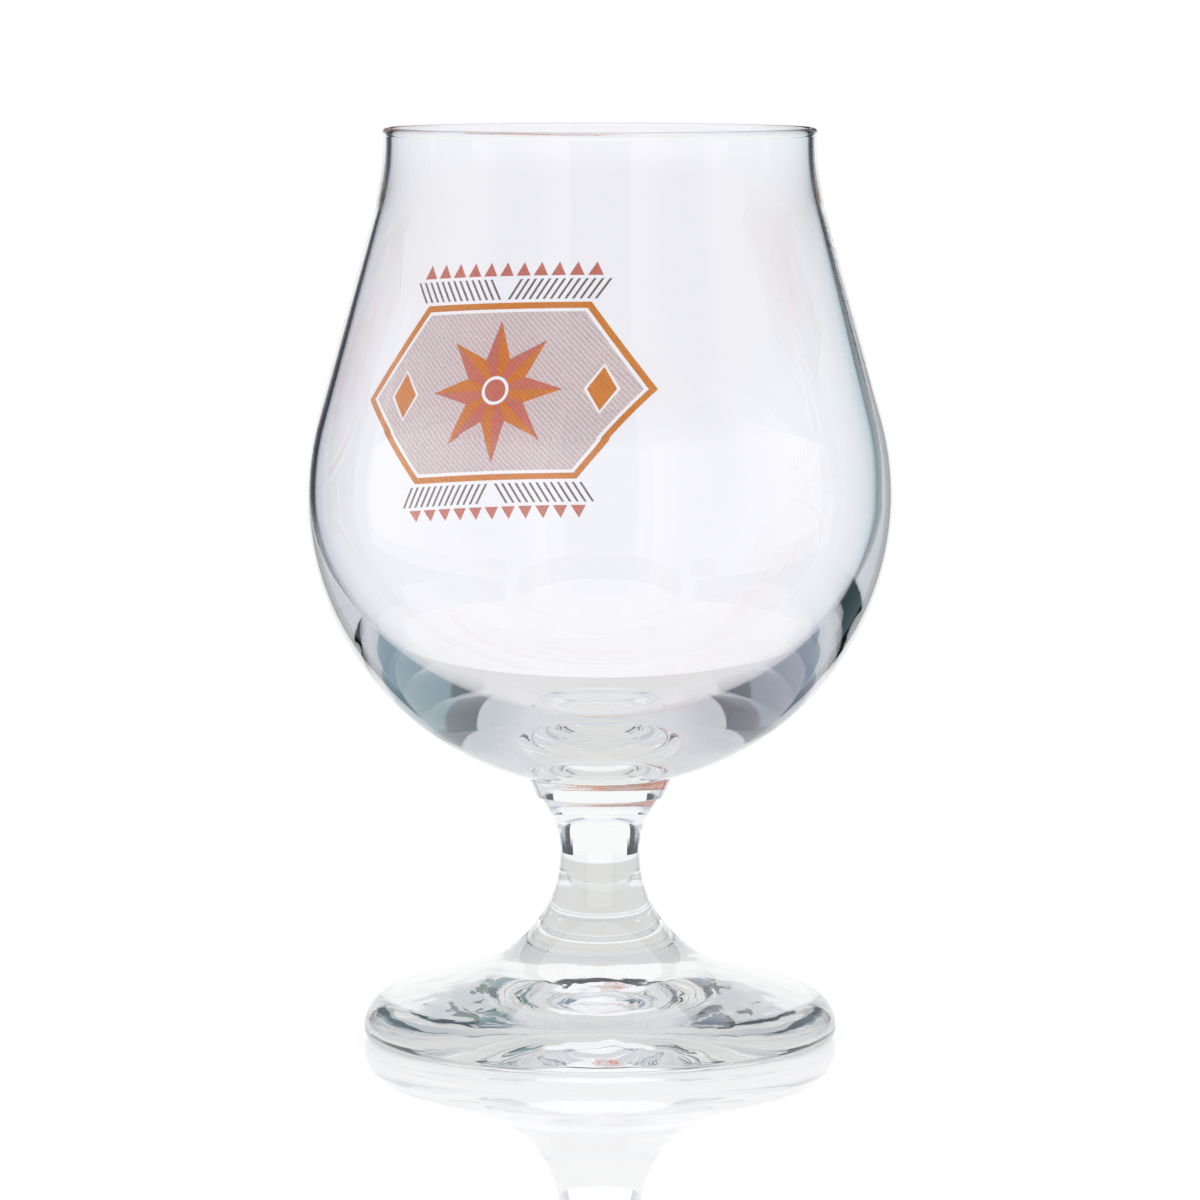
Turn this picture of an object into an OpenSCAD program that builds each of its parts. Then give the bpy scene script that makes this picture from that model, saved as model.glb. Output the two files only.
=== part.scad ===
// Stemmed tulip beer glass: a blown bowl, a collar, a drawn stem and a pressed foot,
// fused end to end, with a four-ink fired-on print on the back of the bowl.
// Millimetres, +Z up, origin on the table under the middle of the foot.

/* [Foot] */
// Widest diameter of the foot
foot_d = 80.6; // [72:0.1:88]
// Height of the foot's widest line, which is also the radius of its lower edge
foot_edge_height = 1.75; // [1:0.05:2.5]
// Radius of the shoulder above the widest line
foot_shoulder_radius = 6; // [4:0.1:8]
// Width of the flat ring that touches the table
foot_ring_width = 3; // [2:0.1:5]
// Depth of the hollow under the foot, at its middle
foot_hollow_depth = 5; // [2:0.1:6]
// Diameter of the foot's top, where the stem is fused on
foot_top_d = 28.8; // [24:0.1:34]

/* [Stem] */
// Diameter of the stem at its waist
waist_d = 13.5; // [11:0.1:16]
// Height of the waist above the table
waist_height = 31.9; // [28:0.1:36]
// Radius of the hollow curve below the waist, which runs on into the foot
stem_lower_radius = 20.4; // [17:0.1:24]
// Height of the stem above its waist
stem_top_rise = 9.3; // [8:0.1:11]
// Diameter of the stem's top, under the collar
stem_top_d = 20.4; // [18:0.1:22]

/* [Collar] */
// Height of the collar between stem and bowl
collar_height = 3.5; // [2.5:0.1:5]
// Diameter of the collar where the bowl is fused on
collar_top_d = 24.4; // [23:0.1:28]
// Diameter of the collar at its lower edge
collar_low_d = 21.8; // [21.5:0.1:25]
// Radius of the collar's lower edge
collar_edge_radius = 0.5; // [0.2:0.05:0.7]

/* [Bowl] */
// Height of the bowl, from the collar to the top of the rim
bowl_height = 110.3; // [104:0.1:118]
// Widest diameter of the belly, a sphere
belly_d = 99.3; // [94:0.1:104]
// Outer diameter of the mouth, under the rim bead
mouth_d = 73.2; // [66:0.1:80]
// Outer radius of the hollow neck curve under the mouth
neck_radius = 47; // [38:0.5:60]
// Height of the upright lip at the mouth
lip_height = 2.2; // [2:0.1:6]

/* [Walls] */
// Wall of the lip
lip_wall = 1.4; // [1:0.05:2]
// How much thicker the fire-polished rim bead is than the lip
bead_swell = 0.3; // [0.1:0.05:0.8]
// Inner radius of the hollow neck curve, tighter than outside so that the wall thins downwards
inner_neck_radius = 38; // [30:0.5:44]
// Wall of the belly at its widest line
belly_wall = 1.35; // [1:0.05:2]
// Thickness of the bowl's floor at the axis
floor_thickness = 6; // [4:0.1:10]

/* [Print] */
// Thickness of the fired-on inks
ink_thickness = 0.1; // [0.05:0.01:0.2]
// Turn of the print about the axis, from the back towards the left
print_turn = 23.5; // [0:0.5:360]
// Height of the print's middle above the belly's widest line
print_rise = 14.5; // [8:0.1:20]
// Length of the pale panel, tip to tip
panel_length = 52; // [46:0.1:56]
// Height of the pale panel
panel_height = 28; // [27:0.1:30]
// Length of the panel's pointed ends
panel_point = 11; // [6:0.1:16]
// Bare gap between neighbouring inks
ink_gap = 0.6; // [0.3:0.05:1]
// Width of the frame line round the panel
frame_width = 1.1; // [0.6:0.05:2]
// Pale margin between the star's tips and the panel's long sides
star_margin = 1.5; // [0.5:0.1:4]
// Diameter of the star's notches, as a share of its diameter
star_notch_share = 0.48; // [0.4:0.01:0.6]
// Diameter of the round hub in the star's middle
star_hub_d = 4; // [3:0.1:6]
// Width of the small diamonds beside the star
diamond_width = 5; // [3:0.1:6]
// Height of the small diamonds
diamond_height = 8; // [5:0.1:10]
// Length of the hatched borders above and below the panel
border_length = 38; // [30:0.1:42]
// Height of the hatched borders
hatch_height = 3.6; // [2:0.1:4.5]
// Width of one hatch line
hatch_width = 0.45; // [0.3:0.05:0.6]
// Spacing of the hatch lines
hatch_pitch = 1.3; // [1.1:0.05:2]
// Lean of the hatch lines from upright
hatch_lean = 30; // [0:1:40]
// Height of the tooth border outside the hatching
tooth_height = 2.4; // [1.5:0.1:3]
// Spacing of the teeth
tooth_pitch = 3.2; // [2.5:0.05:4]

/* [Hidden] */
$fn = 144;
// Largest gap between a curve and its chords
curve_sag = 0.02;
// Tips of the printed star
star_tips = 8;

foot_r = foot_d / 2;
waist_r = waist_d / 2;
collar_top_r = collar_top_d / 2;
collar_low_r = collar_low_d / 2;
belly_r = belly_d / 2;
mouth_r = mouth_d / 2;

// Levels from the table up
waist_z = waist_height;
collar_z = waist_z + stem_top_rise;
bowl_z = collar_z + collar_height;
rim_z = bowl_z + bowl_height;
lip_z = rim_z - lip_height;

// Collar
collar_edge_centre = [collar_low_r - collar_edge_radius, collar_z + collar_edge_radius];

// Foot and stem: two hollow curves meet at the waist, and a straight slope runs from the lower one
// to the foot's shoulder
shoulder_centre = [foot_r - foot_shoulder_radius, foot_edge_height];
lower_room = hollow_limit(shoulder_centre, foot_shoulder_radius, [waist_r, waist_z]);
lower_r = min(stem_lower_radius, lower_room);
lower_centre = [waist_r + lower_r, waist_z];
slope_normal = cross_normal(shoulder_centre, foot_shoulder_radius, lower_centre, lower_r);
fuse_angle = 180 + acos(1 - (foot_top_d / 2 - waist_r) / lower_r);
stem_z = waist_z + lower_r * sin(fuse_angle);
upper_flare = stem_top_d / 2 - waist_r;
upper_r = (upper_flare ^ 2 + stem_top_rise ^ 2) / (2 * upper_flare);
upper_centre = [waist_r + upper_r, waist_z];
collar_angle = 180 - asin(stem_top_rise / upper_r);
ring_r = foot_r - foot_edge_height - foot_ring_width;
hollow_r = (ring_r ^ 2 + foot_hollow_depth ^ 2) / (2 * foot_hollow_depth);
hollow_centre = [0, foot_hollow_depth - hollow_r];

// Bowl: a sphere for the belly, and a cone that touches it and the hollow neck curve
belly_centre = [0, bowl_z + sqrt(belly_r ^ 2 - collar_top_r ^ 2)];
belly_z = belly_centre.y;
seat_angle = atan2(bowl_z - belly_z, collar_top_r);
neck_r = min(neck_radius, hollow_limit(belly_centre, belly_r, [mouth_r, lip_z]));
neck_centre = [mouth_r + neck_r, lip_z];
cone_normal = cross_normal(belly_centre, belly_r, neck_centre, neck_r);
bead_d = lip_wall + bead_swell;
bead_centre = [mouth_r - lip_wall / 2, rim_z - bead_d / 2];
bead_angle = acos(lip_wall / bead_d);

// Inside of the bowl: a sphere above the widest line, and half an ellipsoid below it
inner_r = belly_r - belly_wall;
cavity_depth = belly_z - bowl_z - floor_thickness;
inner_mouth_r = mouth_r - lip_wall;
inner_neck_r = min(inner_neck_radius, hollow_limit(belly_centre, inner_r, [inner_mouth_r, lip_z]));
inner_neck_centre = [inner_mouth_r + inner_neck_r, lip_z];
inner_normal = cross_normal(belly_centre, inner_r, inner_neck_centre, inner_neck_r);

// Print
print_z = belly_z + print_rise;
star_d = panel_height - 2 * star_margin;
star_notch_d = star_notch_share * star_d;
diamond_u = (star_d + panel_length) / 4;
frame_in = ink_gap;
frame_out = frame_in + frame_width;
hatch_v = panel_height / 2 + frame_out + ink_gap;
tooth_v = hatch_v + hatch_height + ink_gap;
hatch_run = hatch_height * tan(hatch_lean);
hatch_count = floor((border_length / 2 - hatch_run) / hatch_pitch);
tooth_count = floor(border_length / tooth_pitch);

// Direction of the line that touches a convex and a hollow curve, given as the direction square to it
function cross_normal(convex, convex_r, hollow, hollow_r) =
    let (span = hollow - convex)
    atan2(span.y, span.x) - acos(min(1, (convex_r + hollow_r) / norm(span)));

// Largest hollow curve that starts upright at a point and has room to touch a convex curve below it
function hollow_limit(convex, convex_r, start) =
    let (span = start - convex)
    (span * span - convex_r ^ 2) / (2 * (convex_r - span.x));

// Points along an arc, close enough to keep to the named sag
function arc(centre, radius, from, to) =
    let (steps = ceil(abs(to - from) / (2 * acos(1 - curve_sag / radius))))
    [
        for (i = [0:steps])
            let (angle = from + (to - from) * i / steps)
            centre + radius * [cos(angle), sin(angle)]
    ];

function reversed(points) = [for (i = [len(points) - 1:-1:0]) points[i]];

// Outside of the bowl from the collar to the lip, stood off by a layer's thickness
function bowl_side(layer) = concat(
    arc(belly_centre, belly_r + layer, seat_angle, cone_normal),
    arc(neck_centre, neck_r - layer, 180 + cone_normal, 180)
);

// Inside of the bowl from the lip to the middle of the floor
function bowl_inside() = concat(
    arc(inner_neck_centre, inner_neck_r, 180, 180 + inner_normal),
    arc(belly_centre, inner_r, inner_normal, 0),
    [for (p = arc([0, 0], inner_r, 0, -90)) belly_centre + [p.x, p.y * cavity_depth / inner_r]]
);

// Corners of the panel, grown square to its sides
function panel(grow) =
    let (
        half_h = panel_height / 2,
        slant = norm([half_h, panel_point]),
        tip = panel_length / 2 + grow * slant / half_h,
        corner = panel_length / 2 - panel_point + grow * (slant - panel_point) / half_h
    )
    [
        [tip, 0], [corner, half_h + grow], [-corner, half_h + grow],
        [-tip, 0], [-corner, -half_h - grow], [corner, -half_h - grow]
    ];

// Corners of the star, tips and notches in turn
function star() = [
    for (i = [0:2 * star_tips - 1])
        let (angle = i * 180 / star_tips, radius = (i % 2 == 0 ? star_d : star_notch_d) / 2)
        radius * [cos(angle), sin(angle)]
];

module turned(points) {
    rotate_extrude()
        polygon(points);
}

module bowl() {
    color([0.86, 0.92, 0.94, 0.35])
        turned(concat(
            [[0, bowl_z]],
            bowl_side(0),
            arc(bead_centre, bead_d / 2, -bead_angle, 180 + bead_angle),
            bowl_inside()
        ));
}

module collar() {
    color([0.80, 0.89, 0.92, 0.45])
        turned(concat(
            [[0, collar_z]],
            arc(collar_edge_centre, collar_edge_radius, -90, 0),
            [[collar_top_r, bowl_z], [0, bowl_z]]
        ));
}

module stem() {
    color([0.83, 0.90, 0.93, 0.40])
        turned(concat(
            [[0, stem_z]],
            arc(lower_centre, lower_r, fuse_angle, 180),
            arc(upper_centre, upper_r, 180, collar_angle),
            [[0, collar_z]]
        ));
}

module foot() {
    color([0.80, 0.88, 0.90, 0.45])
        turned(concat(
            arc(hollow_centre, hollow_r, 90, 90 - asin(ring_r / hollow_r)),
            arc([foot_r - foot_edge_height, foot_edge_height], foot_edge_height, -90, 0),
            arc(shoulder_centre, foot_shoulder_radius, 0, slope_normal),
            arc(lower_centre, lower_r, 180 + slope_normal, fuse_angle),
            [[0, stem_z]]
        ));
}

// A flat design laid on the bowl as a layer of ink
module ink() {
    intersection() {
        turned(concat(bowl_side(0), reversed(bowl_side(ink_thickness))));
        translate([0, 0, print_z])
            rotate([90, 0, 180 + print_turn])
                linear_extrude(belly_d)
                    children();
    }
}

// Half of each star tip: the right halves and the left halves take different inks
module star_halves(side) {
    notch_angle = side * 180 / star_tips;
    difference() {
        for (i = [0:star_tips - 1])
            rotate(i * 360 / star_tips)
                polygon([[0, 0], [star_d / 2, 0], star_notch_d / 2 * [cos(notch_angle), sin(notch_angle)]]);
        circle(d = star_hub_d + 2 * ink_gap);
    }
}

module diamonds(grow) {
    for (side = [-1, 1])
        translate([side * diamond_u, 0])
            polygon([
                [diamond_width / 2 + grow, 0], [0, diamond_height / 2 + grow],
                [-diamond_width / 2 - grow, 0], [0, -diamond_height / 2 - grow]
            ]);
}

// Hatch lines that lean outwards from the middle, above and below the panel
module hatching() {
    for (up = [-1, 1], side = [-1, 1], i = [0:hatch_count - 1])
        let (start = (i + 1 / 2) * hatch_pitch)
        scale([side, up])
            polygon([
                [start, hatch_v], [start + hatch_width, hatch_v],
                [start + hatch_width + hatch_run, hatch_v + hatch_height],
                [start + hatch_run, hatch_v + hatch_height]
            ]);
}

module teeth() {
    half_base = (tooth_pitch - ink_gap) / 2;
    for (up = [-1, 1], i = [0:tooth_count - 1])
        let (middle = (i - (tooth_count - 1) / 2) * tooth_pitch)
        scale([1, up])
            polygon([
                [middle - half_base, tooth_v], [middle + half_base, tooth_v],
                [middle, tooth_v + tooth_height]
            ]);
}

module print_ground() {
    color("#E6DCE0")
        ink()
            difference() {
                polygon(panel(0));
                polygon(star());
                diamonds(ink_gap);
            }
}

module print_orange() {
    color("#F28A1E")
        ink() {
            difference() {
                polygon(panel(frame_out));
                polygon(panel(frame_in));
            }
            star_halves(1);
            diamonds(0);
        }
}

module print_coral() {
    color("#E07A66")
        ink() {
            star_halves(-1);
            circle(d = star_hub_d);
            teeth();
        }
}

module print_grey() {
    color("#5A5C63")
        ink()
            hatching();
}

bowl();
collar();
stem();
foot();
print_ground();
print_orange();
print_coral();
print_grey();
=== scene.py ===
"""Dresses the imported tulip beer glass: clear turned glass, fired-on inks and a white studio table."""

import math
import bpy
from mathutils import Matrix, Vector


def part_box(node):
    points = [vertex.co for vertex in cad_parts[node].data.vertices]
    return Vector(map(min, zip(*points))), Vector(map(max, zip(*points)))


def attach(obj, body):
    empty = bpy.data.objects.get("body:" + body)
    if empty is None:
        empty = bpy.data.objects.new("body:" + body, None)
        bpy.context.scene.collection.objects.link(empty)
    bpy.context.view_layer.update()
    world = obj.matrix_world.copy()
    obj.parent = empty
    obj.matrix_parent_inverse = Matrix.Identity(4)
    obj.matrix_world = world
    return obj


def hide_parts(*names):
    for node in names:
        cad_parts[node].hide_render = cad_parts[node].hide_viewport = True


bl_info = {
    "name": "Tulip beer glass",
    "version": (1, 0, 0),
    "blender": (4, 5, 0),
    "location": "3D View > Sidebar > Tulip glass",
    "description": "Models a stemmed tulip beer glass of clear turned glass with a fired-on print",
    "category": "Object",
}

import bpy
from bpy.props import FloatProperty, FloatVectorProperty, PointerProperty

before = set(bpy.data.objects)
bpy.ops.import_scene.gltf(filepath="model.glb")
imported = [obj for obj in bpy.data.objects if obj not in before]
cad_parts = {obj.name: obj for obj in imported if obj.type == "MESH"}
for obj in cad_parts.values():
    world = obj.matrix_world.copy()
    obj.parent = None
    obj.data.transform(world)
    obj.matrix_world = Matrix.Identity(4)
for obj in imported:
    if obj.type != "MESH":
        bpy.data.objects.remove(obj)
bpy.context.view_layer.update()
BODY = "root"
MM = 0.001


def low_z(node):
    """Lowest level of a CAD node"""
    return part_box(node)[0].z


def high_z(node):
    """Highest level of a CAD node"""
    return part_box(node)[1].z


def widest_r(node):
    """Largest radius of a turned CAD node"""
    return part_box(node)[1].x


def linear(hex_colour):
    """An sRGB hex colour as linear red, green, blue and a full alpha"""
    shares = [int(hex_colour[i:i + 2], 16) / 255 for i in (1, 3, 5)]
    return [s / 12.92 if s <= 0.04045 else ((s + 0.055) / 1.055) ** 2.4 for s in shares] + [1.0]


# Properties

def length(name, default, description):
    """A length in metres that the sidebar shows in the scene's units"""
    return FloatProperty(name=name, description=description, default=default, unit="LENGTH", precision=5)


def angle(name, degrees, description):
    """An angle that is written in degrees"""
    return FloatProperty(name=name, description=description, default=math.radians(degrees), subtype="ANGLE")


def share(name, default, description):
    """A share of something, from 0 to 1"""
    return FloatProperty(name=name, description=description, default=default, subtype="FACTOR", min=0, max=1)


def colour(name, hex_colour, description):
    """A colour that is written as an sRGB hex value"""
    return FloatVectorProperty(name=name, description=description, default=linear(hex_colour), size=4,
                               subtype="COLOR", min=0, max=1)


class TulipBowlSizes(bpy.types.PropertyGroup):
    """Sizes of the bowl that its box doesn't give, and its glass"""
    mouth_r: length("Mouth radius", 36.6 * MM, "Outer radius of the mouth under the rim bead")
    neck_r: length("Neck curve", 47 * MM, "Outer radius of the hollow neck curve")
    lip_height: length("Lip height", 2.2 * MM, "Height of the upright lip")
    lip_wall: length("Lip wall", 1.4 * MM, "Wall of the lip")
    bead_d: length("Rim bead", 1.7 * MM, "Diameter of the fire-polished rim bead")
    inner_neck_r: length("Inner neck curve", 38 * MM, "Inner radius of the hollow neck curve")
    belly_wall: length("Belly wall", 1.35 * MM, "Wall at the widest line")
    floor_thickness: length("Floor", 6 * MM, "Thickness of the bowl's floor at the axis")
    drift: length("Wall drift", 1.0 * MM, "How much thicker blowing left the wall on the +X side")
    ripple: length("Ripple", 0.012 * MM, "Depth of the faint waves that blowing leaves inside")
    ripple_width: length("Ripple width", 14 * MM, "Width of those waves")
    tint: colour("Glass tint", "#FEFEFF", "Colour that light takes at each pass through the glass's face")


class TulipBaseSizes(bpy.types.PropertyGroup):
    """Sizes of collar, stem and foot that their boxes don't give, and their glass"""
    collar_low_r: length("Collar low radius", 10.9 * MM, "Radius of the collar at its lower edge")
    collar_edge_r: length("Collar edge", 0.5 * MM, "Radius of the collar's lower edge")
    stem_top_r: length("Stem top radius", 10.2 * MM, "Radius of the stem under the collar")
    waist_r: length("Waist radius", 6.75 * MM, "Radius of the stem at its waist")
    waist_rise: length("Waist rise", 9.3 * MM, "Height of the stem above its waist")
    lower_r: length("Lower stem curve", 20.4 * MM, "Radius of the hollow curve below the waist")
    foot_edge: length("Foot edge", 1.75 * MM, "Height of the foot's widest line")
    shoulder_r: length("Foot shoulder", 6 * MM, "Radius of the shoulder above the widest line")
    ring_width: length("Foot ring", 3 * MM, "Width of the flat ring that touches the table")
    hollow_depth: length("Foot hollow", 5 * MM, "Depth of the hollow under the foot")
    ripple: length("Ripple", 0.08 * MM, "Depth of the waves that pressing leaves in the hollow")
    ripple_width: length("Ripple width", 3.5 * MM, "Width of those waves")
    tint: colour("Glass tint", "#FBFDFC", "Colour that light takes at each pass through the glass's face")


class TulipPrintSizes(bpy.types.PropertyGroup):
    """Sizes and inks of the print"""
    turn: angle("Turn", 23.5, "Turn of the print about the axis, from the back towards -X")
    rise: length("Rise", 14.5 * MM, "Height of the print's middle above the widest line")
    panel_length: length("Panel length", 52 * MM, "Length of the pale panel, tip to tip")
    panel_height: length("Panel height", 28 * MM, "Height of the pale panel")
    panel_point: length("Panel point", 11 * MM, "Length of the panel's pointed ends")
    gap: length("Gap", 0.6 * MM, "Bare gap between neighbouring inks")
    frame_width: length("Frame line", 1.1 * MM, "Width of the frame line round the panel")
    star_margin: length("Star margin", 1.5 * MM,
                        "Pale margin between the star's tips and the panel's long sides")
    star_notch: share("Star notch", 0.48, "Diameter of the star's notches as a share of its own")
    hub_d: length("Hub", 4 * MM, "Diameter of the round hub in the star's middle")
    diamond_width: length("Diamond width", 5 * MM, "Width of the small diamonds beside the star")
    diamond_height: length("Diamond height", 8 * MM, "Height of the small diamonds")
    border_length: length("Border length", 38 * MM, "Length of the borders above and below the panel")
    hatch_height: length("Hatch height", 3.6 * MM, "Height of the hatched borders")
    hatch_width: length("Hatch line", 0.45 * MM, "Width of one hatch line")
    hatch_pitch: length("Hatch pitch", 1.3 * MM, "Spacing of the hatch lines")
    hatch_lean: angle("Hatch lean", 30, "Lean of the hatch lines from upright")
    tooth_height: length("Tooth height", 2.4 * MM, "Height of the tooth border")
    tooth_pitch: length("Tooth pitch", 3.2 * MM, "Spacing of the teeth")
    proud: length("Ink height", 0.09 * MM, "How far the inks stand proud of the glass")
    sunk: length("Ink depth", 0.03 * MM, "How far the fired inks reach into the glass's face")
    bond: share("Bond", 0.4,
                "How much of the ink's inner face is bonded to the glass so closely that light enters")
    bend: length("Bend step", 1.2 * MM, "Size of the small faces that bend round the bowl")
    screen_pitch: length("Screen pitch", 0.75 * MM,
                         "Spacing of the slanting lines that the inks are screened in")
    mauve: colour("Mauve", "#E2C6C8", "Ink of the panel")
    mauve_cover: share("Mauve cover", 0.5, "How much of the light the panel's ink stops at each face")
    orange: colour("Orange", "#FF981C", "Ink of the frame, the diamonds and half of each star tip")
    coral: colour("Coral", "#F2866E", "Ink of the hub, the teeth and half of each star tip")
    grey: colour("Grey", "#8A7A74", "Ink of the hatch lines")


class TulipStageSettings(bpy.types.PropertyGroup):
    """Camera and light"""
    camera_back: length("Camera distance", 1.01546, "Distance of the camera in front of the axis")
    camera_rise: length("Camera height", 0.17815, "Height of the camera above the table")
    camera_pitch: angle("Camera pitch", 5.807, "Tilt below the horizon")
    camera_lens: FloatProperty(name="Lens", description="Focal length in millimetres", default=180.12)
    tent_r: length("Tent radius", 0.168, "Distance of the light panels from the axis")
    card_r: length("Card radius", 0.115, "Distance from the axis at which the dark cards start on the table")
    tent_height: length("Tent height", 0.45, "Height of the light panels")
    panel_half: angle("Panel half angle", 35.5, "Half the angle that the back panel takes, at the table")
    panel_taper: angle("Panel taper", 3, "How much smaller that is at the rim's level")
    line_end: angle("Line end", 47,
                    "Angle from the back, at the table, at which the darkest part of a card ends")
    low_start: angle("Low card start", 31, "Angle from the back at which a low card starts")
    low_end: angle("Low card end", 64, "Angle from the back at which a low card ends")
    high_end: angle("High card end", 92, "Angle from the back at which a high card ends")
    softbox_start: angle("Softbox start", 19, "Angle from the front at which a softbox starts")
    softbox_end: angle("Softbox end", 50, "Angle from the front at which its light has faded")
    table_colour: colour("Table", "#E6E6E8", "White acrylic of the table")
    under_colour: colour("Table in the glass", "#E0DFDE", "Table as the foot shows it")
    card_edge: colour("Card edge", "#34363C", "Cards beside the back panel")
    card_low: colour("Low card", "#45434B", "Cards near the table")
    card_left: colour("Left card", "#98A2B0", "Card at the bowl's level on the left")
    card_right: colour("Right card", "#8FAEB6", "Card at the bowl's level on the right")
    deep_half: angle("Deep half angle", 20,
                     "Half the back panel's angle where it shows after many reflections")
    card_blur: share("Card blur", 0.3, "How far the cards fade where they show after many reflections")
    deep_colour: colour("Deep colour", "#D6D8DC", "White panel where it shows after many reflections")
    panel_colour: colour("Light panel", "#FCFCFF", "Panels as the bowl shows them")
    room: colour("Room", "#B2B7CC", "Studio behind the camera")


# Shared modelling steps

TURN_STEPS = 256
SMOOTH_ANGLE = math.radians(20)
MERGE_GAP = 0.002 * MM
FLAT = 0.999
FACES_DOWN = -0.5
ARC_STEP = math.radians(1.5)
EDGE_STEP = math.radians(6)
BEAD_STEP = math.radians(10)
HOLLOW_STEP = math.radians(0.3)
SIDE_CUTS = 12
WAVE_MIDDLE = 0.5


def deselect():
    """Leaves edit mode and clears the selection"""
    if bpy.context.object and bpy.context.object.mode != "OBJECT":
        bpy.ops.object.mode_set(mode="OBJECT")
    bpy.ops.object.select_all(action="DESELECT")


def arc(centre, radius, start, end, step=ARC_STEP):
    """Points along an arc in the radius and height plane"""
    count = max(2, math.ceil(abs(end - start) / step))
    angles = [start + (end - start) * i / count for i in range(count + 1)]
    return [(centre[0] + radius * math.cos(a), centre[1] + radius * math.sin(a)) for a in angles]


def straight(start, end, count):
    """Points between two points, without either of them"""
    return [(start[0] + (end[0] - start[0]) * i / count, start[1] + (end[1] - start[1]) * i / count)
            for i in range(1, count)]


def cross_normal(convex, convex_r, hollow, hollow_r):
    """Direction square to the line that touches a convex and a hollow curve"""
    span = (hollow[0] - convex[0], hollow[1] - convex[1])
    return math.atan2(span[1], span[0]) - math.acos(min(1, (convex_r + hollow_r) / math.hypot(*span)))


def draw(points):
    """Draws a line through points in the XZ plane: one corner, extruded from point to point in edit mode"""
    bpy.ops.mesh.primitive_plane_add(size=MM, location=(points[0][0], 0, points[0][1]))
    bpy.ops.object.mode_set(mode="EDIT")
    bpy.ops.mesh.merge(type="CENTER")
    for (r0, z0), (r1, z1) in zip(points, points[1:]):
        bpy.ops.mesh.extrude_vertices_move(TRANSFORM_OT_translate={"value": (r1 - r0, 0, z1 - z0)})


def turned(name, points, materials):
    """A closed solid of revolution from its half section, with its seam and poles closed"""
    deselect()
    draw(points)
    bpy.ops.mesh.select_all(action="SELECT")
    bpy.ops.mesh.spin(steps=TURN_STEPS, angle=math.tau, center=(0, 0, 0), axis=(0, 0, 1))
    bpy.ops.mesh.select_all(action="SELECT")
    bpy.ops.mesh.remove_doubles(threshold=MERGE_GAP)
    bpy.ops.mesh.select_all(action="SELECT")
    bpy.ops.mesh.normals_make_consistent(inside=False)
    bpy.ops.object.mode_set(mode="OBJECT")
    obj = bpy.context.object
    obj.name = name
    bpy.ops.object.transform_apply(location=True, rotation=True, scale=True)
    bpy.ops.object.shade_smooth_by_angle(angle=SMOOTH_ANGLE)
    for material in materials:
        obj.data.materials.append(material)
    return obj


def weld(obj, level, radius=math.inf):
    """Gives the flat face at a level, out to a radius, the fused glass that light passes unbent"""
    for face in obj.data.polygons:
        flat = abs(face.normal.z) > FLAT and abs(face.center.z - level) < MERGE_GAP
        if flat and face.center.xy.length < radius:
            face.material_index = 1


def push(obj, name, strength, direction, weights, texture=None):
    """Moves weighted corners by a Displace modifier, along an axis or their normals, evenly or in waves"""
    group = obj.vertex_groups.new(name=name)
    for index, weight in weights.items():
        group.add([index], weight, "REPLACE")
    change = obj.modifiers.new(name, "DISPLACE")
    change.strength = strength
    change.direction = direction
    change.vertex_group = name
    change.texture = texture
    change.mid_level = WAVE_MIDDLE if texture else 0
    bpy.context.view_layer.objects.active = obj
    bpy.ops.object.modifier_apply(modifier=name)
    obj.vertex_groups.clear()


def waves(name, width):
    """Soft clouds of a given width, the same at each run"""
    texture = bpy.data.textures.new(name, "CLOUDS")
    texture.noise_scale = width
    texture.noise_depth = 1
    return texture


# Materials

def add(tree, kind, settings=(), links=()):
    """Adds a node, sets its properties, sockets and colour stops, and links other nodes' outputs to it"""
    node = tree.nodes.new(kind)
    for key, value in dict(settings).items():
        if key == "stops":
            for place, tone in value[1:-1]:
                node.color_ramp.elements.new(place).color = tone
            node.color_ramp.elements[0].color = value[0][1]
            node.color_ramp.elements[-1].color = value[-1][1]
        elif isinstance(key, str) and hasattr(node, key):
            setattr(node, key, value)
        else:
            node.inputs[key].default_value = value
    for key, output in dict(links).items():
        tree.links.new(output, node.inputs[key])
    return node


def new_material(name):
    """A material with an empty node tree"""
    material = bpy.data.materials.new(name)
    material.use_nodes = True
    material.node_tree.nodes.clear()
    return material


def soda_lime_glass(name, tint):
    """Fire-polished soda-lime glass: quite clear, with a trace of green-blue taken at each pass through its
    face
    """
    material = new_material(name)
    tree = material.node_tree
    glass = add(tree, "ShaderNodeBsdfPrincipled", {
        "Base Color": tint, "Roughness": 0.0, "IOR": 1.52, "Transmission Weight": 1.0})
    add(tree, "ShaderNodeOutputMaterial", links={"Surface": glass.outputs["BSDF"]})
    return material


def fused_glass():
    """Glass fused to glass: the joint can't be seen, so light goes straight through"""
    material = new_material("fused_glass_joint")
    tree = material.node_tree
    clear = add(tree, "ShaderNodeBsdfTransparent", {"Color": linear("#FFFFFF")})
    add(tree, "ShaderNodeOutputMaterial", links={"Surface": clear.outputs["BSDF"]})
    return material


# Share of an ink's light that leaves through the glass it is fired on, and share that the glass throws back
GLASS_PASS = 0.368
GLASS_BACK = 0.6


# Painted light: an ink's glass side gets a brighter copy of its colour, in place of the light that the glass
# keeps back
def brightened_under_glass(tone):
    """Ink colour painted brighter for its glass side, for the light the glass keeps back, so it looks there
    as in air
    """
    return [c / (GLASS_PASS + GLASS_BACK * c) for c in tone[:3]] + [1.0]


# A wave texture has twenty radians to a unit
WAVE_TURN = math.tau / 20
SCREEN_SLANT = math.pi / 4
CLOUD_WIDTH = 4 * MM
# How much darker the screened lines get, the range of roughness, and how much the cover varies
LINE_DEPTH = 0.24
SATIN = (0.25, 0.45)
COVER_DRIFT = 0.2


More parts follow.
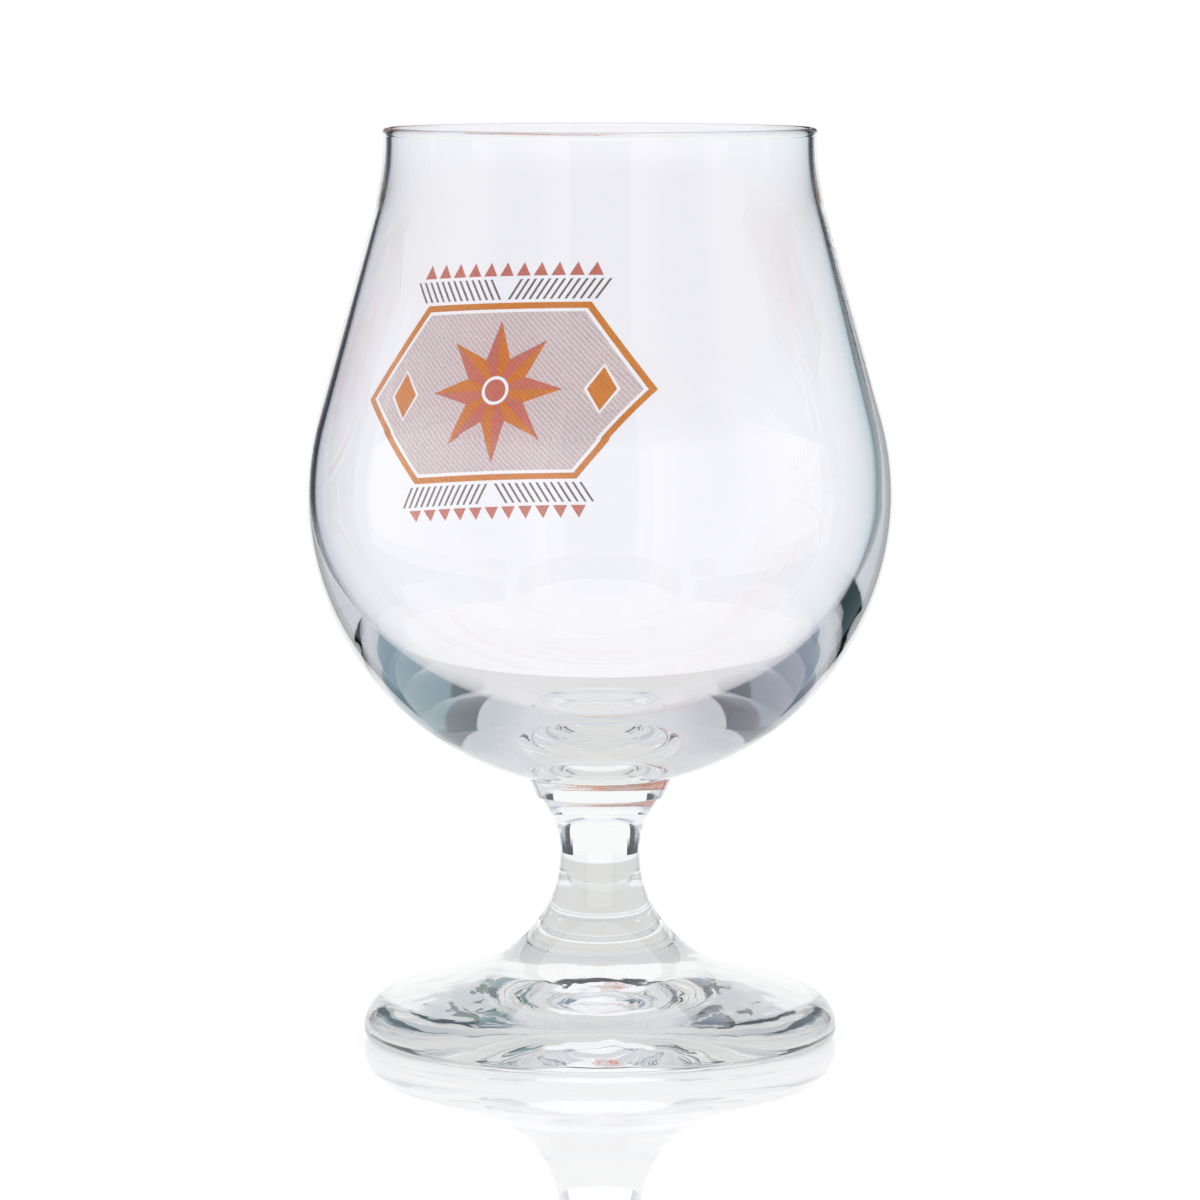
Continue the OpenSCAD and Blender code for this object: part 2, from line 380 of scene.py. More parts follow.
def enamel(name, tone, s, cover=1.0):
    """Fired-on glass enamel: a thin satin layer, screened in fine slanting lines and a little cloudy from the
    kiln. The lines are drawn coarser than a real screen's, so that they show."""
    material = new_material(name)
    tree = material.node_tree
    place = add(tree, "ShaderNodeTexCoord")
    facing = add(tree, "ShaderNodeVectorRotate", {"rotation_type": "Z_AXIS", "Angle": -s.turn},
                 {"Vector": place.outputs["Object"]})
    slant = add(tree, "ShaderNodeVectorRotate", {"rotation_type": "Y_AXIS", "Angle": SCREEN_SLANT},
                {"Vector": facing.outputs[0]})
    lines = add(tree, "ShaderNodeTexWave", {"Scale": WAVE_TURN / s.screen_pitch},
                {"Vector": slant.outputs[0]})
    cloud = add(tree, "ShaderNodeTexNoise", {"Scale": 1 / CLOUD_WIDTH, "Detail": 2.0},
                {"Vector": place.outputs["Object"]})
    both = add(tree, "ShaderNodeMath", {"operation": "MULTIPLY"},
               {0: lines.outputs["Fac"], 1: cloud.outputs["Fac"]})
    deep = [c * (1 - LINE_DEPTH) for c in tone[:3]] + [1.0]
    body = add(tree, "ShaderNodeMix", {"data_type": "RGBA", 6: tone, 7: deep}, {0: both.outputs[0]})
    satin = add(tree, "ShaderNodeMapRange", {"To Min": SATIN[0], "To Max": SATIN[1]},
                {0: cloud.outputs["Fac"]})
    links = {"Base Color": body.outputs[2], "Roughness": satin.outputs[0]}
    if cover < 1:
        thin = add(tree, "ShaderNodeMapRange", {
            "To Min": cover * (1 - COVER_DRIFT), "To Max": cover * (1 + COVER_DRIFT)},
            {0: lines.outputs["Fac"]})
        links["Alpha"] = thin.outputs[0]
    ink = add(tree, "ShaderNodeBsdfPrincipled", {"IOR": 1.5}, links)
    add(tree, "ShaderNodeOutputMaterial", links={"Surface": ink.outputs["BSDF"]})
    return material


# Pieces

class TULIP_OT_bowl(bpy.types.Operator):
    """Turns the bowl from its half section"""
    bl_idname = "tulip.bowl"
    bl_label = "Bowl"

    def execute(self, context):
        s = context.scene.tulip_bowl
        bowl_z = low_z("bowl")
        rim_z = high_z("bowl")
        belly_r = widest_r("bowl")
        seat_r = widest_r("collar")
        belly = (0, bowl_z + math.sqrt(belly_r ** 2 - seat_r ** 2))
        lip_z = rim_z - s.lip_height
        neck = (s.mouth_r + s.neck_r, lip_z)
        cone = cross_normal(belly, belly_r, neck, s.neck_r)
        bead = (s.mouth_r - s.lip_wall / 2, rim_z - s.bead_d / 2)
        bead_turn = math.acos(s.lip_wall / s.bead_d)
        inner_r = belly_r - s.belly_wall
        inner_neck = (s.mouth_r - s.lip_wall + s.inner_neck_r, lip_z)
        inner_cone = cross_normal(belly, inner_r, inner_neck, s.inner_neck_r)
        cavity_depth = belly[1] - bowl_z - s.floor_thickness
        belly_side = arc(belly, belly_r, math.atan2(bowl_z - belly[1], seat_r), cone)
        neck_side = arc(neck, s.neck_r, math.pi + cone, math.pi)
        inner_side = arc(belly, inner_r, inner_cone, 0)
        inner_neck_side = arc(inner_neck, s.inner_neck_r, math.pi, math.pi + inner_cone)
        cavity = [(r, belly[1] + (z - belly[1]) * cavity_depth / inner_r)
                  for r, z in arc(belly, inner_r, 0, -math.pi / 2)]
        section = [(0, bowl_z)] + belly_side
        section += straight(belly_side[-1], neck_side[0], SIDE_CUTS) + neck_side
        section += arc(bead, s.bead_d / 2, -bead_turn, math.pi + bead_turn, BEAD_STEP)
        section += inner_neck_side + straight(inner_neck_side[-1], inner_side[0], SIDE_CUTS)
        section += inner_side + cavity[1:]
        obj = turned("bowl_glass", section, [soda_lime_glass("soda_lime_bowl", s.tint), fused_glass()])
        self.blow(obj, s, belly[1], lip_z)
        weld(obj, bowl_z)
        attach(obj, BODY)
        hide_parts("bowl")
        return {"FINISHED"}

    def blow(self, obj, s, belly_z, lip_z):
        """Lets the inside drift off the axis below the lip, and ripple a little"""
        weights = {}
        for corner in obj.data.vertices:
            outwards = corner.normal.xy.dot(corner.co.xy) + corner.normal.z * (corner.co.z - belly_z)
            if outwards < 0 and corner.co.z < lip_z:
                weights[corner.index] = min(1, (lip_z - corner.co.z) / (lip_z - belly_z))
        belly_r = widest_r("bowl")
        thick = {i: w * max(0, obj.data.vertices[i].co.x / belly_r) ** 2 for i, w in weights.items()}
        push(obj, "drift", -s.drift, "X", thick)
        push(obj, "ripple", s.ripple, "NORMAL", weights, waves("blown_ripple", s.ripple_width))


def base_glass(tint):
    """The glass and the fused joint shared by collar, stem and foot"""
    found = bpy.data.materials.get("soda_lime_base")
    return [found or soda_lime_glass("soda_lime_base", tint), bpy.data.materials["fused_glass_joint"]]


# The ripple fades over a quarter of the ring's radius
RIPPLE_FADE = 4


class TULIP_OT_base(bpy.types.Operator):
    """Turns the collar, the stem and the foot from their half sections"""
    bl_idname = "tulip.base"
    bl_label = "Collar, stem and foot"

    def execute(self, context):
        s = context.scene.tulip_base
        foot_r = widest_r("foot")
        fuse_r = widest_r("stem")
        seat_r = widest_r("collar")
        stem_z, collar_z, bowl_z = high_z("foot"), high_z("stem"), high_z("collar")
        waist_z = collar_z - s.waist_rise
        lower = (s.waist_r + s.lower_r, waist_z)
        flare = s.stem_top_r - s.waist_r
        upper_r = (flare ** 2 + s.waist_rise ** 2) / (2 * flare)
        upper = (s.waist_r + upper_r, waist_z)
        shoulder = (foot_r - s.shoulder_r, s.foot_edge)
        slope = cross_normal(shoulder, s.shoulder_r, lower, s.lower_r)
        fuse = math.pi + math.acos(1 - (fuse_r - s.waist_r) / s.lower_r)
        ring_r = foot_r - s.foot_edge - s.ring_width
        hollow_r = (ring_r ** 2 + s.hollow_depth ** 2) / (2 * s.hollow_depth)
        hollow = (0, s.hollow_depth - hollow_r)

        edge = (s.collar_low_r - s.collar_edge_r, collar_z + s.collar_edge_r)
        section = [(0, collar_z), (s.stem_top_r, collar_z)]
        section += arc(edge, s.collar_edge_r, -math.pi / 2, 0, BEAD_STEP)
        section += [(seat_r, bowl_z), (0, bowl_z)]
        collar = turned("collar_glass", section, base_glass(s.tint))
        weld(collar, bowl_z)
        weld(collar, collar_z, s.stem_top_r)

        section = [(0, stem_z)] + arc(lower, s.lower_r, fuse, math.pi)
        section += arc(upper, upper_r, math.pi, math.pi - math.asin(s.waist_rise / upper_r))[1:]
        section += [(0, collar_z)]
        stem = turned("stem_glass", section, base_glass(s.tint))
        weld(stem, collar_z)
        weld(stem, stem_z)

        lower_side = arc(lower, s.lower_r, math.pi + slope, fuse)
        shoulder_side = arc(shoulder, s.shoulder_r, 0, slope)
        ring_turn = math.pi / 2 - math.asin(ring_r / hollow_r)
        section = arc(hollow, hollow_r, math.pi / 2, ring_turn, HOLLOW_STEP)
        section += arc((foot_r - s.foot_edge, s.foot_edge), s.foot_edge, -math.pi / 2, 0, EDGE_STEP)
        section += shoulder_side[1:] + straight(shoulder_side[-1], lower_side[0], SIDE_CUTS) + lower_side
        section += [(0, stem_z)]
        foot = turned("foot_glass", section, base_glass(s.tint))
        self.press(foot, s, ring_r)
        weld(foot, stem_z)

        for obj, node in ((collar, "collar"), (stem, "stem"), (foot, "foot")):
            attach(obj, BODY)
            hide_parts(node)
        return {"FINISHED"}

    def press(self, foot, s, ring_r):
        """Lets the hollow under the foot ripple, out to the ring"""
        weights = {}
        for corner in foot.data.vertices:
            if corner.normal.z < FACES_DOWN and corner.co.xy.length < ring_r:
                weights[corner.index] = min(1, RIPPLE_FADE * (1 - corner.co.xy.length / ring_r))
        push(foot, "ripple", s.ripple, "NORMAL", weights, waves("pressed_ripple", s.ripple_width))


STAR_TIPS = 8
HUB_STEPS = 32


def panel(s, grow):
    """Corners of the six-sided panel, grown square to its sides"""
    half = s.panel_height / 2
    slant = math.hypot(half, s.panel_point)
    tip = s.panel_length / 2 + grow * slant / half
    corner = s.panel_length / 2 - s.panel_point + grow * (slant - s.panel_point) / half
    top = half + grow
    return [(tip, 0), (corner, top), (-corner, top), (-tip, 0), (-corner, -top), (corner, -top)]


def diamonds(s, star_d, grow):
    """Corners of the two small diamonds beside the star"""
    middle = (star_d + s.panel_length) / 4
    half_u = s.diamond_width / 2 + grow
    half_v = s.diamond_height / 2 + grow
    return [[(u + half_u, 0), (u, half_v), (u - half_u, 0), (u, -half_v)] for u in (-middle, middle)]


def star(s, star_d):
    """Corners of the star, tips and notches in turn"""
    radii = (star_d / 2, s.star_notch * star_d / 2)
    turns = [i * math.pi / STAR_TIPS for i in range(2 * STAR_TIPS)]
    return [(radii[i % 2] * math.cos(a), radii[i % 2] * math.sin(a)) for i, a in enumerate(turns)]


def star_halves(s, star_d, side):
    """Corners of one half of each star tip, cut round for the hub"""
    hub_r = s.hub_d / 2 + s.gap
    notch_r = s.star_notch * star_d / 2
    halves = []
    for i in range(STAR_TIPS):
        tip = i * math.tau / STAR_TIPS
        notch = tip + side * math.pi / STAR_TIPS
        ends = [(star_d / 2 * math.cos(tip), star_d / 2 * math.sin(tip)),
                (notch_r * math.cos(notch), notch_r * math.sin(notch))]
        halves.append(ends + arc((0, 0), hub_r, notch, tip, EDGE_STEP))
    return halves


def hatch_lines(s, level):
    """Corners of the hatch lines, which lean outwards from the middle above and below the panel"""
    run = s.hatch_height * math.tan(s.hatch_lean)
    count = math.floor((s.border_length / 2 - run) / s.hatch_pitch + MERGE_GAP)
    lines = []
    for up in (-1, 1):
        for side in (-1, 1):
            for i in range(count):
                start = (i + 0.5) * s.hatch_pitch
                ends = [(start, level), (start + s.hatch_width, level),
                        (start + s.hatch_width + run, level + s.hatch_height),
                        (start + run, level + s.hatch_height)]
                lines.append([(side * u, up * v) for u, v in ends])
    return lines


def teeth(s, level):
    """Corners of the teeth above and below the hatching"""
    count = math.floor(s.border_length / s.tooth_pitch + MERGE_GAP)
    half = (s.tooth_pitch - s.gap) / 2
    rows = []
    for up in (-1, 1):
        for i in range(count):
            middle = (i - (count - 1) / 2) * s.tooth_pitch
            rows.append([(middle - half, up * level), (middle + half, up * level),
                         (middle, up * (level + s.tooth_height))])
    return rows


class TULIP_OT_print(bpy.types.Operator):
    """Lays the four inks of the print on the back of the bowl"""
    bl_idname = "tulip.print"
    bl_label = "Fired-on print"

    def execute(self, context):
        s = context.scene.tulip_print
        star_d = s.panel_height - 2 * s.star_margin
        hatch_v = s.panel_height / 2 + s.frame_width + 2 * s.gap
        tooth_v = hatch_v + s.hatch_height + s.gap
        hub = arc((0, 0), s.hub_d / 2, 0, math.tau * (1 - 1 / HUB_STEPS), math.tau / HUB_STEPS)
        ground = [[panel(s, 0), star(s, star_d)] + diamonds(s, star_d, s.gap)]
        orange = [[panel(s, s.gap + s.frame_width), panel(s, s.gap)]]
        orange += [[half] for half in star_halves(s, star_d, 1) + diamonds(s, star_d, 0)]
        coral = [[shape] for shape in star_halves(s, star_d, -1) + [hub] + teeth(s, tooth_v)]
        grey = [[line] for line in hatch_lines(s, hatch_v)]
        self.ink(s, "ground", "ink_pale_mauve", ground, s.mauve, s.mauve_cover)
        self.ink(s, "orange", "ink_orange", orange, s.orange)
        self.ink(s, "coral", "ink_coral", coral, s.coral)
        self.ink(s, "grey", "ink_grey", grey, s.grey)
        return {"FINISHED"}

    def ink(self, s, name, slot, groups, tone, cover=1.0):
        """One ink: its outlines filled, cut into small faces, laid on the bowl and given their thickness"""
        bowl = bpy.data.objects["bowl_glass"]
        belly_z = low_z("bowl") + math.sqrt(widest_r("bowl") ** 2 - widest_r("collar") ** 2)
        deselect()
        bpy.ops.mesh.primitive_plane_add(size=MM)
        obj = bpy.context.object
        obj.name = f"{name}_ink"
        bpy.ops.object.mode_set(mode="EDIT")
        bpy.ops.mesh.delete(type="VERT")
        for outlines in groups:
            for points in outlines:
                draw(points + points[:1])
            bpy.ops.mesh.select_all(action="SELECT")
            bpy.ops.mesh.remove_doubles(threshold=MERGE_GAP)
            bpy.ops.mesh.fill()
            bpy.ops.mesh.hide()
        bpy.ops.mesh.reveal()
        self.cut(s)
        bpy.ops.object.mode_set(mode="OBJECT")
        out = widest_r("bowl")
        obj.location = (-out * math.sin(s.turn), out * math.cos(s.turn), belly_z + s.rise)
        obj.rotation_euler.z = math.pi + s.turn
        lie = obj.modifiers.new("lie", "SHRINKWRAP")
        lie.wrap_method = "PROJECT"
        lie.use_project_y = True
        lie.target = bowl
        bpy.ops.object.modifier_apply(modifier=lie.name)
        bpy.ops.object.transform_apply(location=True, rotation=True, scale=True)
        self.face_out(obj)
        layer = obj.modifiers.new("layer", "SOLIDIFY")
        layer.thickness = s.proud + s.sunk
        layer.offset = 2 * s.proud / layer.thickness - 1
        bpy.ops.object.modifier_apply(modifier=layer.name)
        bpy.ops.object.shade_smooth_by_angle(angle=SMOOTH_ANGLE)
        obj.data.materials.append(enamel(f"enamel_{name}", tone, s, cover))
        # The glass side gets the brighter copy of the ink, painted in place of the light that the glass keeps
        # back
        obj.data.materials.append(enamel(f"enamel_{name}_under_glass", brightened_under_glass(tone), s, s.bond))
        for face in obj.data.polygons:
            if face.normal.xy.dot(face.center.xy) < 0:
                face.material_index = 1
        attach(obj, BODY)
        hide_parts(f"print_{name}")

    def cut(self, s):
        """Cuts the flat ink along a grid, so that it can bend both ways"""
        count = math.ceil(s.panel_length / s.bend)
        for axis in ((1, 0, 0), (0, 0, 1)):
            for i in range(-count, count + 1):
                bpy.ops.mesh.select_all(action="SELECT")
                bpy.ops.mesh.bisect(plane_co=[a * (i + 0.5) * s.bend for a in axis], plane_no=axis)

    def face_out(self, obj):
        """Turns the layer's faces outwards"""
        bpy.ops.object.mode_set(mode="EDIT")
        bpy.ops.mesh.select_all(action="SELECT")
        bpy.ops.mesh.normals_make_consistent(inside=False)
        bpy.ops.object.mode_set(mode="OBJECT")
        inward = [f.index for f in obj.data.polygons if f.normal.xy.dot(f.center.xy) < 0]
        if inward:
            bpy.ops.object.mode_set(mode="EDIT")
            bpy.ops.mesh.select_all(action="DESELECT")
            bpy.ops.object.mode_set(mode="OBJECT")
            for index in inward:
                obj.data.polygons[index].select = True
            bpy.ops.object.mode_set(mode="EDIT")
            bpy.ops.mesh.flip_normals()
            bpy.ops.object.mode_set(mode="OBJECT")


# Stage

# Light meets the walls many times before it leaves the glass, so it needs many bounces
BOUNCES = 96
DIFFUSE_BOUNCES = 12
CLEAR_BOUNCES = 64
TABLE_SIZE = 8
TABLE_LIFT = 0.15
FILM_LEVEL = 0.05 * MM
DRUM_LEVEL = 0.5 * MM
DRUM_SIDES = 96
SENSOR_WIDTH = 36
CLIP_END = 20

# Edges of the cards, sharp and faded, and the level at which the back panel has its full taper
CARD_STEP = math.radians(0.2)
CARD_FADE = math.radians(10)
TAPER_LEVEL = 0.15
# Levels between which low cards turn into high ones, and between which the dark strip over the rim starts
CARD_LEVELS = (0.02, 0.06)
STRIP_LEVELS = (0.15, 0.17)
# Bearings go from 0 at the back to 1 at the front
SIDE_BEARING = 0.5
# Bearings between which the panels fade to the room behind the camera
ROOM_BEARINGS = (0.58, 0.66)

# Tests of the light that meets the drum: name, what is measured, how, and the limit. Counts are whole, so
# half a count parts them. Lengths, from the glass to the drum, and levels are in metres.
HALF_COUNT = 0.5
LIGHT_TESTS = (
    ("right", "x", "GREATER_THAN", 0),
    ("once", "mirrors", "COMPARE", 1),
    ("twice", "mirrors", "COMPARE", 2),
    ("any_mirror", "mirrors", "GREATER_THAN", HALF_COUNT),
    ("many", "mirrors", "GREATER_THAN", 2 + HALF_COUNT),
    ("few", "passes", "LESS_THAN", 3 + HALF_COUNT),
    ("inside", "passes", "GREATER_THAN", HALF_COUNT),
    ("off_table", "films", "LESS_THAN", HALF_COUNT),
    ("plain", "scatters", "LESS_THAN", HALF_COUNT),
    ("oblique", "length", "GREATER_THAN", 0.137),
    ("from_stem", "length", "GREATER_THAN", 0.16),
    ("stem_level", "length", "LESS_THAN", 0.169),
    ("short", "length", "LESS_THAN", 0.15),
    ("stem_high", "z", "GREATER_THAN", 0.045),
    ("low_down", "z", "LESS_THAN", 0.03),
    ("off_floor", "z", "GREATER_THAN", 0.002),
)
# What tests and cards make together: name, how, and the two that are joined
LIGHT_RULES = (
    ("stem_side", "MAXIMUM", "stem_high", "stem_level"),
    ("stem_light", "MULTIPLY", "from_stem", "stem_side"),
    ("low_band", "MULTIPLY", "low_down", "off_floor"),
    ("foot_light", "MULTIPLY", "low_band", "short"),
    ("straight_on", "MAXIMUM", "stem_light", "foot_light"),
    ("mirrored", "MAXIMUM", "straight_on", "any_mirror"),
    ("bent", "SUBTRACT", "mirrored", "twice"),
    ("wall", "MULTIPLY", "few", "bent"),
    ("mirror", "MULTIPLY", "inside", "once"),
    ("all_round", "MAXIMUM", "high", "once"),
    ("strip", "MULTIPLY", "over_rim", "all_round"),
    ("dark", "MAXIMUM", "strip", "line"),
    ("upper", "MAXIMUM", "level", "any_mirror"),
    ("glass", "MAXIMUM", "inside", "off_table"),
    ("shown", "MULTIPLY", "glass", "plain"),
)


class TULIP_OT_stage(bpy.types.Operator):
    """Sets up the table, the light panels, the world and the camera"""
    bl_idname = "tulip.stage"
    bl_label = "Stage"

    def execute(self, context):
        s = context.scene.tulip_stage
        self.table(s)
        self.tent(s)
        self.world(context.scene)
        self.camera(context.scene, s)
        context.scene.view_settings.view_transform = "Standard"
        context.scene.cycles.max_bounces = BOUNCES
        context.scene.cycles.transmission_bounces = BOUNCES
        context.scene.cycles.glossy_bounces = BOUNCES
        context.scene.cycles.diffuse_bounces = DIFFUSE_BOUNCES
        context.scene.cycles.transparent_max_bounces = CLEAR_BOUNCES
        context.scene.cycles.blur_glossy = 0
        return {"FINISHED"}

    def table(self, s):
        """White gloss acrylic table"""
        deselect()
        bpy.ops.mesh.primitive_plane_add(size=TABLE_SIZE, location=(0, 0, 0))
        obj = bpy.context.object
        obj.name = "table"
        material = new_material("white_gloss_acrylic")
        tree = material.node_tree
        acrylic = add(tree, "ShaderNodeBsdfPrincipled", {
            "Base Color": s.table_colour, "Roughness": 0.0, "IOR": 1.49})
        path = add(tree, "ShaderNodeLightPath")
        lift = add(tree, "ShaderNodeMath", {"operation": "MULTIPLY", 1: TABLE_LIFT},
                   {0: path.outputs["Is Camera Ray"]})
        glow = add(tree, "ShaderNodeEmission", links={"Strength": lift.outputs[0]})
        both = add(tree, "ShaderNodeAddShader",
                   links={0: acrylic.outputs["BSDF"], 1: glow.outputs["Emission"]})
        through = add(tree, "ShaderNodeEmission", {"Color": s.under_colour})
        seen = add(tree, "ShaderNodeMixShader", links={
            0: path.outputs["Is Transmission Ray"], 1: both.outputs["Shader"],
            2: through.outputs["Emission"]})
        add(tree, "ShaderNodeOutputMaterial", links={"Surface": seen.outputs["Shader"]})
        obj.data.materials.append(material)
        self.film()

    def film(self):
        """Clear film on the table, which marks light that comes from it, so that it shows no cards"""
        deselect()
        bpy.ops.mesh.primitive_plane_add(size=TABLE_SIZE, location=(0, 0, FILM_LEVEL))
        obj = bpy.context.object
        obj.name = "table_film"
        material = new_material("clear_film")
        clear = add(material.node_tree, "ShaderNodeBsdfTransparent")
        add(material.node_tree, "ShaderNodeOutputMaterial", links={"Surface": clear.outputs["BSDF"]})
        obj.data.materials.append(material)

    def tent(self, s):
        """A drum of light panels and dark cards round the glass, which shows only in the glass"""
        deselect()
        bpy.ops.mesh.primitive_circle_add(vertices=DRUM_SIDES, radius=s.card_r, location=(0, 0, DRUM_LEVEL))
        obj = bpy.context.object
        obj.name = "light_tent"
        bpy.ops.object.mode_set(mode="EDIT")
        bpy.ops.mesh.select_all(action="SELECT")
        bpy.ops.mesh.extrude_edges_move()
        bpy.ops.transform.resize(value=[s.tent_r / s.card_r] * 2 + [1])
        bpy.ops.mesh.extrude_edges_move(TRANSFORM_OT_translate={"value": (0, 0, s.tent_height)})
        bpy.ops.object.mode_set(mode="OBJECT")
        obj.data.materials.append(self.panels(s))
        obj.visible_camera = False
        obj.visible_diffuse = False
        obj.visible_shadow = False

    def light_rules(self, tree, s):
        """Where light meets the drum, what it met on its way, and what follows from that, all from 0 to 1"""
        white = linear("#FFFFFF")
        black = linear("#000000")
        place = add(tree, "ShaderNodeTexCoord")
        spot = add(tree, "ShaderNodeSeparateXYZ", links={0: place.outputs["Object"]})
        side = add(tree, "ShaderNodeMath", {"operation": "ABSOLUTE"}, {0: spot.outputs["X"]})
        turn = add(tree, "ShaderNodeMath", {"operation": "ARCTAN2"},
                   {0: side.outputs[0], 1: spot.outputs["Y"]})
        bearing = add(tree, "ShaderNodeMath", {"operation": "DIVIDE", 1: math.pi}, {0: turn.outputs[0]})
        path = add(tree, "ShaderNodeLightPath")
        light = {"x": spot.outputs["X"], "z": spot.outputs["Z"], "bearing": bearing.outputs[0],
                 "mirrors": path.outputs["Glossy Depth"], "passes": path.outputs["Transmission Depth"],
                 "films": path.outputs["Transparent Depth"], "scatters": path.outputs["Diffuse Depth"],
                 "length": path.outputs["Ray Length"]}
        for name, value, operation, limit in LIGHT_TESTS:
            test = add(tree, "ShaderNodeMath", {"operation": operation, 1: limit, 2: HALF_COUNT},
                       {0: light[value]})
            light[name] = test.outputs[0]
        grazing = add(tree, "ShaderNodeMath", {"operation": "MULTIPLY"},
                      {0: light["oblique"], 1: light["once"]})
        folded = add(tree, "ShaderNodeMath", {"operation": "PINGPONG", 1: SIDE_BEARING},
                     {0: light["bearing"]})
        nearest = add(tree, "ShaderNodeMix", {"data_type": "FLOAT"},
                      {0: grazing.outputs[0], 2: light["bearing"], 3: folded.outputs[0]})
        taper = add(tree, "ShaderNodeMapRange", {"From Max": TAPER_LEVEL, "To Max": s.panel_taper / math.pi},
                    {0: light["z"]})
        leaned = add(tree, "ShaderNodeMath", {"operation": "ADD"},
                     {0: nearest.outputs[0], 1: taper.outputs[0]})
        for name, start, end, run in (
                ("low", s.low_start, s.low_end, CARD_STEP), ("line", s.panel_half, s.line_end, CARD_STEP),
                ("high", s.panel_half, s.high_end, CARD_STEP), ("deep", s.deep_half, s.high_end, CARD_FADE)):
            stops = [(0, black), (start / math.pi, black), ((start + run) / math.pi, white),
                     (end / math.pi, white), ((end + run) / math.pi, black), (1, black)]
            card = add(tree, "ShaderNodeValToRGB", {"stops": stops}, {0: leaned.outputs[0]})
            light[name] = card.outputs[0]
        for name, (low, high) in (("level", CARD_LEVELS), ("over_rim", STRIP_LEVELS)):
            band = add(tree, "ShaderNodeMapRange", {"From Min": low, "From Max": high}, {0: light["z"]})
            light[name] = band.outputs[0]
        for name, operation, first, second in LIGHT_RULES:
            rule = add(tree, "ShaderNodeMath", {"operation": operation, "use_clamp": True},
                       {0: light[first], 1: light[second]})
            light[name] = rule.outputs[0]
        return light

    def panels(self, s):
        """Light panels and cards, told apart by bearing and height, and by what the light met on its way"""
        white = linear("#FFFFFF")
        soft = 1 - s.softbox_end / math.pi
        gap = 1 - s.softbox_start / math.pi
        room_start, room_full = ROOM_BEARINGS
        front = [(0, white), (room_start, white), (room_full, s.room), (soft, s.room), (gap, white),
                 (gap + CARD_STEP / math.pi, s.room), (1, s.room)]
        material = new_material("light_panels")
        tree = material.node_tree
        light = self.light_rules(tree, s)
        front_tone = add(tree, "ShaderNodeValToRGB", {"stops": front}, {0: light["bearing"]})
        side_tone = add(tree, "ShaderNodeMix", {"data_type": "RGBA", 6: s.card_left, 7: s.card_right},
                        {0: light["right"]})
        side_cards = add(tree, "ShaderNodeMix", {"data_type": "RGBA", 6: white},
                         {0: light["high"], 7: side_tone.outputs[2]})
        high_cards = add(tree, "ShaderNodeMix", {"data_type": "RGBA", 7: s.card_edge},
                         {0: light["dark"], 6: side_cards.outputs[2]})
        low_cards = add(tree, "ShaderNodeMix", {"data_type": "RGBA", 6: white, 7: s.card_low},
                        {0: light["low"]})
        near_cards = add(tree, "ShaderNodeMix", {"data_type": "RGBA"},
                         {0: light["upper"], 6: low_cards.outputs[2], 7: high_cards.outputs[2]})
        deep_cards = add(tree, "ShaderNodeMix", {"data_type": "RGBA", 6: white},
                         {0: light["deep"], 7: side_tone.outputs[2]})
        blur = add(tree, "ShaderNodeMath", {"operation": "MULTIPLY", 1: s.card_blur}, {0: light["many"]})
        cards = add(tree, "ShaderNodeMix", {"data_type": "RGBA"},
                    {0: blur.outputs[0], 6: near_cards.outputs[2], 7: deep_cards.outputs[2]})
        behind = add(tree, "ShaderNodeMix", {"data_type": "RGBA", 6: s.panel_colour},
                     {0: light["wall"], 7: cards.outputs[2]})
        front_room = add(tree, "ShaderNodeMix", {"data_type": "RGBA", 6: white},
                         {0: light["mirror"], 7: front_tone.outputs[0]})
        before = add(tree, "ShaderNodeMix", {"data_type": "RGBA", 7: s.deep_colour},
                     {0: light["many"], 6: front_room.outputs[2]})
        tone = add(tree, "ShaderNodeMix", {"data_type": "RGBA", "blend_type": "MULTIPLY", 0: 1.0},
                   {6: behind.outputs[2], 7: before.outputs[2]})
        glow = add(tree, "ShaderNodeEmission", links={"Color": tone.outputs[2]})
        clear = add(tree, "ShaderNodeBsdfTransparent")
        shown = add(tree, "ShaderNodeMixShader", links={
            0: light["shown"], 1: clear.outputs["BSDF"], 2: glow.outputs["Emission"]})
        add(tree, "ShaderNodeOutputMaterial", links={"Surface": shown.outputs["Shader"]})
        return material

    def world(self, scene):
        """Even white light"""
        world = bpy.data.worlds.new("studio")
        world.use_nodes = True
        tree = world.node_tree
        tree.nodes.clear()
        light = add(tree, "ShaderNodeBackground", {"Color": linear("#FFFFFF"), "Strength": 1.0})
        add(tree, "ShaderNodeOutputWorld", links={"Surface": light.outputs["Background"]})
        scene.world = world

    def camera(self, scene, s):
        """Camera at the photograph's angle"""
        data = bpy.data.cameras.new("camera")
        data.lens = s.camera_lens
        data.sensor_width = SENSOR_WIDTH
        data.clip_end = CLIP_END
        camera = bpy.data.objects.new("camera", data)
        camera.location = (0, -s.camera_back, s.camera_rise)
        camera.rotation_euler = (math.pi / 2 - s.camera_pitch, 0, 0)
        scene.collection.objects.link(camera)
        scene.camera = camera


class TULIP_PT_sidebar(bpy.types.Panel):
    """Lists the steps that build the glass"""
    bl_label = "Tulip glass"
    bl_idname = "TULIP_PT_sidebar"
    bl_space_type = "VIEW_3D"
    bl_region_type = "UI"
    bl_category = "Tulip glass"

    def draw(self, context):
        for step in STEPS:
            self.layout.operator(step.bl_idname)


GROUPS = {"tulip_bowl": TulipBowlSizes, "tulip_base": TulipBaseSizes, "tulip_print": TulipPrintSizes,
          "tulip_stage": TulipStageSettings}
STEPS = (TULIP_OT_stage, TULIP_OT_bowl, TULIP_OT_base, TULIP_OT_print)


def register():
    """Adds the classes and the scene's settings"""
    for name, group in GROUPS.items():
        bpy.utils.register_class(group)
        setattr(bpy.types.Scene, name, PointerProperty(type=group))
    for cls in (*STEPS, TULIP_PT_sidebar):
        bpy.utils.register_class(cls)


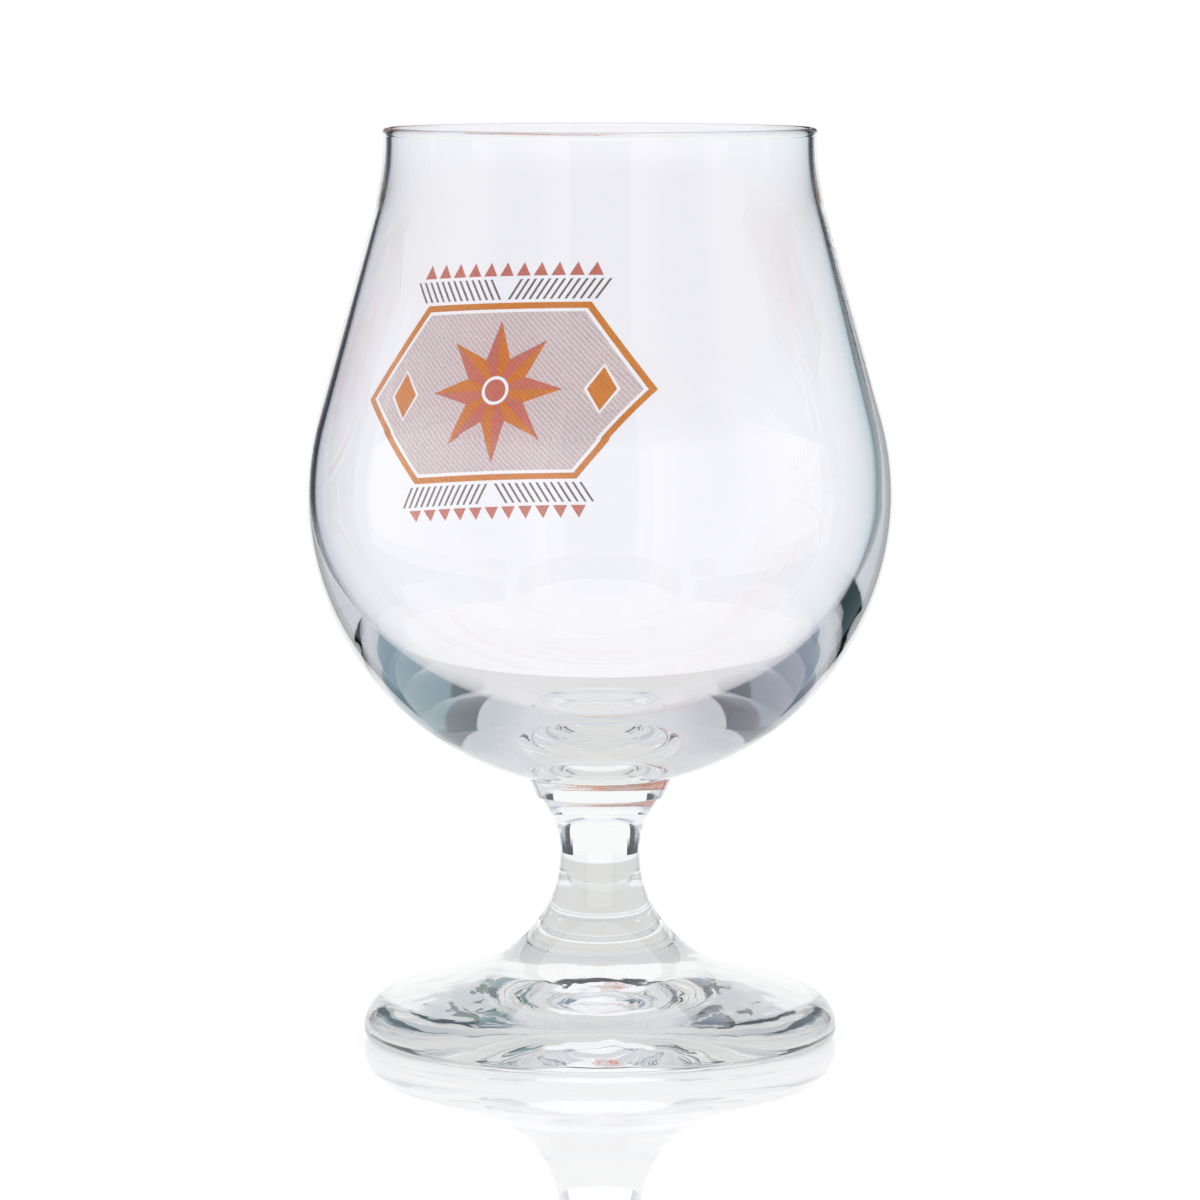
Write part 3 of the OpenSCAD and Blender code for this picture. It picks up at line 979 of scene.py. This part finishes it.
def unregister():
    """Removes them again"""
    for cls in (*STEPS, TULIP_PT_sidebar):
        bpy.utils.unregister_class(cls)
    for name, group in GROUPS.items():
        delattr(bpy.types.Scene, name)
        bpy.utils.unregister_class(group)


def main():
    """Builds the glass step by step"""
    register()
    bpy.ops.tulip.stage()
    bpy.ops.tulip.bowl()
    bpy.ops.tulip.base()
    bpy.ops.tulip.print()


if __name__ == "__main__":
    main()
